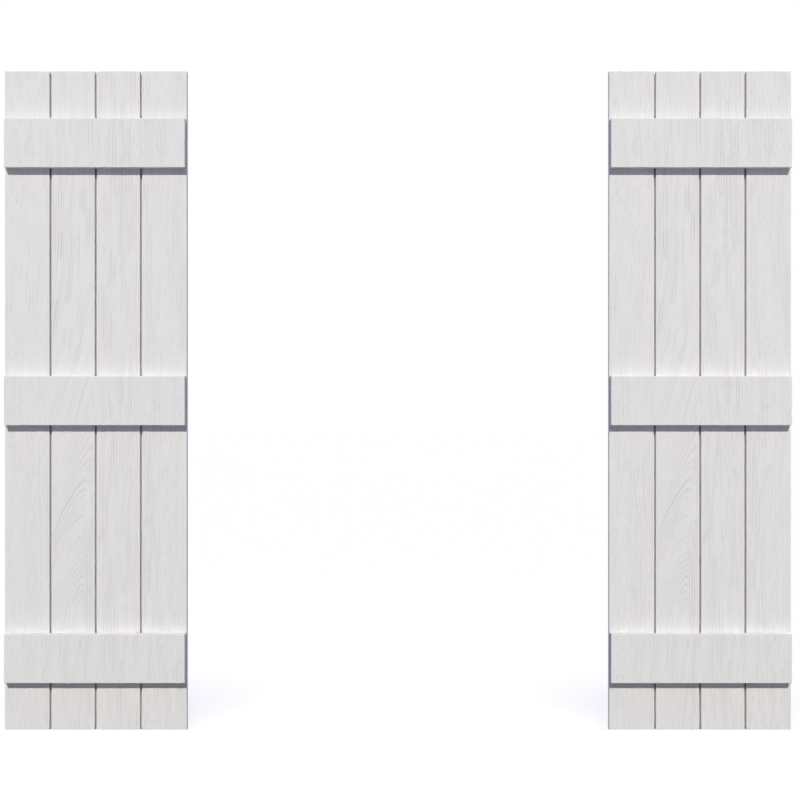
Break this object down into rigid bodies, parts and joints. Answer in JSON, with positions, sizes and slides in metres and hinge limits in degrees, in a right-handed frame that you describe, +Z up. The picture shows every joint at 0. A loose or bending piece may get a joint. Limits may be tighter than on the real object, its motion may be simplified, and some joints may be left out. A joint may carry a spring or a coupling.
{
  "type": "pair of board and batten shutters",
  "caption": "Pair of flat exterior shutters for fixing beside a window, each of upright tongue and groove boards joined by horizontal battens screwed on from the back.",
  "frame": {"origin": "bottom of the shutters, midway between the two and midway through their depth", "axes": "+X along the wall to the right as seen from outside, +Y into the wall, +Z up"},
  "size_m": [1.538, 0.038, 1.288],
  "materials": {
    "grained_pvc": "white cellular PVC with wood grain pressed into the face, satin",
    "screw_steel": "plain stainless steel"
  },
  "bodies": {
    "root": {"left_board_1": "grained_pvc", "left_board_2": "grained_pvc", "left_board_3": "grained_pvc", "left_board_4": "grained_pvc", "right_board_1": "grained_pvc", "right_board_2": "grained_pvc", "right_board_3": "grained_pvc", "right_board_4": "grained_pvc", "left_batten_bottom": "grained_pvc", "left_batten_middle": "grained_pvc", "left_batten_top": "grained_pvc", "right_batten_bottom": "grained_pvc", "right_batten_middle": "grained_pvc", "right_batten_top": "grained_pvc", "left_screws_bottom": "screw_steel", "left_screws_middle": "screw_steel", "left_screws_top": "screw_steel", "right_screws_bottom": "screw_steel", "right_screws_middle": "screw_steel", "right_screws_top": "screw_steel"}
  },
  "joints": []
}
